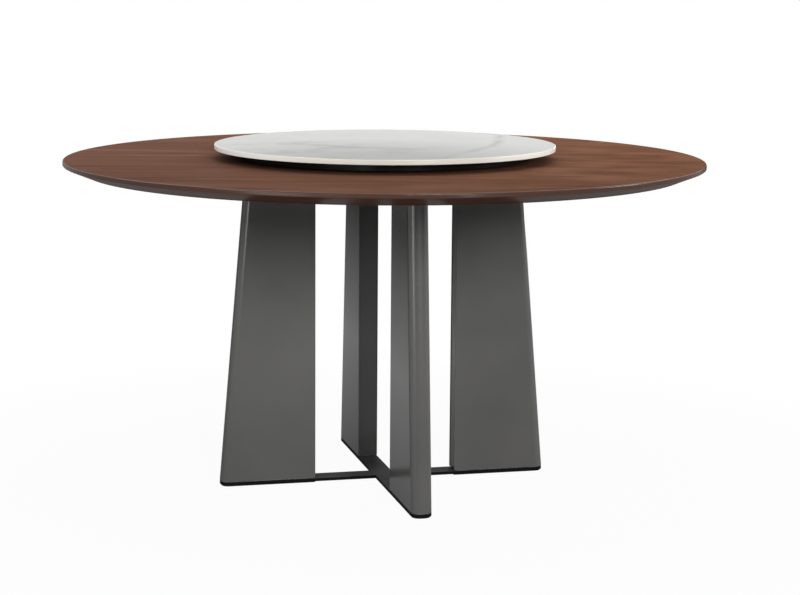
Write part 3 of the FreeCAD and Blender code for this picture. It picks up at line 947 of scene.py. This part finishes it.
# Turntable plate and drum
# The fixed plate lies on the wood; the drum is a shallow dish of bent aluminium sheet that hides the
# bearing and carries the stone. Both black anodised, with a faint turned grain.
drum_low, drum_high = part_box("turntable_drum")
drum_radius = drum_high.x
drum_sheet = 0.002
drum_bend = 0.0035
hub_radius = 0.0091
anodised_black = (0.004, 0.004, 0.004, 1)
anodised_grey = (0.010, 0.010, 0.010, 1)


def turning_marks(tree, fineness, detail):
    """Fine rings about the axis, as a lathe or a grinding wheel leaves them."""
    x, y, height = add_node(tree, "SeparateXYZ", {0: object_place(tree)}).outputs
    across = times(tree, from_axis(tree, x, y), fineness)
    return noise(tree, vector(tree, across, times(tree, height, fineness), 0.0), 1.0, detail)


anodised, tree, shader = new_finish("black_anodised")
turned_grain = turning_marks(tree, 900.0, 3)
set_finish(
    tree, shader,
    Base_Color=mix_colours(tree, spread(tree, turned_grain, 0.35, 0.7), anodised_black, anodised_grey),
    Roughness=spread(tree, turned_grain, 0.3, 0.7, 0.28, 0.40),
    Normal=bumped(tree, turned_grain, 0.05, 0.0001),
    Specular_IOR_Level=0.0,
    Coat_Weight=0.2,
    Coat_Roughness=0.26)

drum = turned_piece("turntable_dish", (
    (hub_radius, drum_high.z - drum_sheet),
    (drum_radius - drum_sheet, drum_high.z - drum_sheet),
    (drum_radius - drum_sheet, drum_low.z),
    (drum_radius, drum_low.z),
    (drum_radius, drum_high.z),
    (hub_radius, drum_high.z)),
    {(drum_radius, drum_high.z): drum_bend,
     (drum_radius - drum_sheet, drum_high.z - drum_sheet): drum_bend - drum_sheet}, steps=192)
smooth(drum)
hand_over(drum, anodised, "black_aluminium", "lazy_susan", "turntable_drum")
finish_nodes(anodised, "turntable_plate")


# Bearing
# Two grooved steel races with a ring of caged balls between them, countersunk race screws, and the pivot
# pin with its spring clip. Ground steel, bright, with fine circular marks and a film of grease.
steel_bright = (0.62, 0.62, 0.63, 1)
steel_grease = (0.42, 0.40, 0.35, 1)

ground_steel, tree, shader = new_finish("ground_bearing_steel")
ground_marks = turning_marks(tree, 1600.0, 2)
grease = spread(tree, noise(tree, object_place(tree), 70, 4), 0.5, 0.75, 0.0, 0.7)
set_finish(
    tree, shader,
    Base_Color=mix_colours(tree, grease, steel_bright, steel_grease),
    Roughness=spread(tree, ground_marks, 0.3, 0.7, 0.16, 0.30),
    Metallic=1.0,
    Normal=bumped(tree, ground_marks, 0.06, 0.0001))
finish_nodes(ground_steel, "lower_race", "upper_race", "bearing_balls", "pivot_pin", "pivot_clip")
finish_nodes(zinc, "lower_race_screws", "upper_race_screws")


# Ball cage and pivot bush
# Moulded nylon: a thin ring with a pocket for each ball, loose between the races, and the flanged bush
# in the drum's hub, which turns on the pivot pin.
nylon_white = (0.74, 0.73, 0.68, 1)
nylon_cream = (0.62, 0.60, 0.52, 1)

nylon, tree, shader = new_finish("moulded_nylon")
place = object_place(tree)
clouding = spread(tree, noise(tree, place, 80, 3), 0.35, 0.7)
set_finish(
    tree, shader,
    Base_Color=mix_colours(tree, clouding, nylon_white, nylon_cream),
    Roughness=spread(tree, clouding, 0.0, 1.0, 0.38, 0.5),
    Normal=bumped(tree, noise(tree, place, 900, 2), 0.05, 0.0002))
finish_nodes(nylon, "ball_cage", "pivot_bush")


# Bond pads
# Round pads of clear silicone that glue the stone to the drum and let it move with heat. Cast flat,
# a little milky inside.
silicone_clear = (0.62, 0.64, 0.64, 1)
silicone_milky = (0.74, 0.75, 0.74, 1)

silicone, tree, shader = new_finish("clear_silicone")
place = object_place(tree)
milky = spread(tree, noise(tree, place, 140, 3), 0.35, 0.7)
set_finish(
    tree, shader,
    Base_Color=mix_colours(tree, milky, silicone_clear, silicone_milky),
    Roughness=spread(tree, milky, 0.0, 1.0, 0.3, 0.42),
    Normal=bumped(tree, noise(tree, place, 500, 2), 0.06, 0.0002))
finish_nodes(silicone, "bond_pads")


# Stone disc
# Sintered stone slab cut round, with both rims eased: a white face with soft grey clouds and a few long
# veins, honed to a low gloss, and a plain cream body that shows on the edge. Painted shade greys the face
# towards the front, and painted light pales the edge towards its left and right ends.
stone_low, stone_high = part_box("stone_disc")
stone_radius = stone_high.x
stone_arris = 0.0015
stone_white = (0.575, 0.58, 0.565, 1)
stone_cloud_and_shade = (0.405, 0.41, 0.395, 1)
stone_vein = (0.355, 0.36, 0.35, 1)
stone_cream = (0.54, 0.52, 0.465, 1)
stone_painted_light = (0.86, 0.85, 0.81, 1)    # painted light: the edge's colour at its left and right ends
long_vein = ((0.11, -0.4), (0.129, -0.36), (0.202, -0.152), (0.26, -0.019), (0.28, 0.232), (0.27, 0.31))
short_vein = ((-0.21, -0.02), (-0.113, -0.076), (-0.043, -0.121), (0.03, -0.115), (0.09, -0.15))
smudged = (-0.13, -0.17)          # middle of the clouded part of the face
cloud_reach = (0.08, 0.26)        # distances over which its clouds
cloud_share = (0.9, 0.15)
smudge_reach = (0.1, 0.32)        # and its darker smudges thin out
smudge_share = 0.55
painted_shade_spot = (0.0, -0.36)             # middle of the painted shade that greys the front of the face
painted_shade_reach = (0.1, 0.5)
painted_shade_share = 0.9
veins = ((long_vein, 0.02, 0.6), (short_vein, 0.022, 0.5))    # with their half widths and strengths
vein_drift = 0.04                 # how far the veins wander from the lines drawn for them
painted_light_left = (-0.95, -0.3)         # where the edge is lightened by painted light, in shares of the radius
painted_light_right = (0.5, 0.95)
face_coat, edge_coat = 0.02, 0.8


def from_spot(tree, x, y, spot):
    """Distance, seen from above, from the point to a spot."""
    sockets = {0: vector(tree, x, y, 0.0), 1: (*spot, 0)}
    return add_node(tree, "VectorMath", sockets, operation="DISTANCE").outputs["Value"]


def from_line(tree, point, start, end):
    """Distance, seen from above, from the point to the line between two places."""
    start, end = Vector((*start, 0)), Vector((*end, 0))
    flat = add_node(tree, "VectorMath", {0: point, 1: (1, 1, 0)}, operation="MULTIPLY").outputs[0]
    arm = add_node(tree, "VectorMath", {0: flat, 1: start}, operation="SUBTRACT").outputs[0]
    reach = add_node(tree, "VectorMath", {0: arm, 1: end - start}, operation="DOT_PRODUCT").outputs["Value"]
    share = spread(tree, reach, 0.0, (end - start).length_squared)
    foot = add_node(tree, "VectorMath", {0: end - start, "Scale": share}, operation="SCALE").outputs[0]
    return add_node(tree, "VectorMath", {0: arm, 1: foot}, operation="DISTANCE").outputs["Value"]


stone = turned_piece("stone_slab", (
    (0, stone_low.z),
    (stone_radius, stone_low.z),
    (stone_radius, stone_high.z),
    (0, stone_high.z)),
    {(stone_radius, stone_low.z): stone_arris, (stone_radius, stone_high.z): stone_arris}, steps=256)
smooth(stone)

stone_finish, tree, shader = new_finish("honed_white_stone")
place = object_place(tree, turn=grain_turn)
x, y, height = add_node(tree, "SeparateXYZ", {0: place}).outputs
clouds = noise(tree, place, 9.0, 4, 0.55, 0.5)
to_smudge = from_spot(tree, x, y, smudged)
cloud_mask = times(
    tree, spread(tree, clouds, 0.4, 0.75), spread(tree, to_smudge, *cloud_reach, *cloud_share))
# painted shade: the face is greyed around that spot, with the cloud colour
painted_shade_mask = spread(tree, from_spot(tree, x, y, painted_shade_spot), *painted_shade_reach, painted_shade_share, 0.0)
face_colour = mix_colours(tree, calculate(tree, "MAXIMUM", cloud_mask, painted_shade_mask), stone_white, stone_cloud_and_shade)
drift = add_node(tree, "TexNoise", {"Vector": place, "Scale": 9.0, "Detail": 3.0}).outputs["Color"]
drift = add_node(tree, "VectorMath", {0: drift, 1: (0.5, 0.5, 0.5)}, operation="SUBTRACT").outputs[0]
drifted = add_node(
    tree, "VectorMath", {0: drift, 1: (vein_drift, vein_drift, 0.0), 2: place},
    operation="MULTIPLY_ADD").outputs[0]
smudges = spread(tree, noise(tree, drifted, 12.0, 3, 0.5, 0.15), 0.48, 0.68, 0.0, smudge_share)
smudges = times(tree, smudges, spread(tree, to_smudge, *smudge_reach, 1.0, 0.0))
face_colour = mix_colours(tree, smudges, face_colour, stone_vein)
fading = spread(tree, noise(tree, place, 11.0, 2), 0.35, 0.6, 0.25, 1.0)
for points, width, strength in veins:
    nearest = 1.0
    for start, end in zip(points, points[1:]):
        nearest = calculate(tree, "MINIMUM", nearest, from_line(tree, drifted, start, end))
    on_vein = times(tree, fading, spread(tree, nearest, 0.0, width, strength, 0.0))
    face_colour = mix_colours(tree, on_vein, face_colour, stone_vein)
radius = from_axis(tree, x, y)
on_edge = spread(tree, radius, stone_radius - stone_arris, stone_radius - stone_arris / 2)
# painted light: the cream edge is made paler towards its left and right ends
painted_light_at_ends = calculate(
    tree, "MAXIMUM",
    spread(tree, x, *(share * stone_radius for share in painted_light_left), 1.0, 0.0),
    spread(tree, x, *(share * stone_radius for share in painted_light_right), 0.0, 0.5))
body_and_light_colour = mix_colours(tree, painted_light_at_ends, stone_cream, stone_painted_light)
set_finish(
    tree, shader,
    Base_Color=mix_colours(tree, on_edge, face_colour, body_and_light_colour),
    Roughness=spread(tree, clouds, 0.3, 0.7, 0.40, 0.50),
    Normal=bumped(tree, noise(tree, place, 400, 3), 0.02, 0.0002),
    Specular_IOR_Level=0.0,
    Coat_Weight=spread(tree, on_edge, 0.0, 1.0, face_coat, edge_coat),
    Coat_Roughness=0.2)
hand_over(stone, stone_finish, "white_stone", "lazy_susan", "stone_disc")
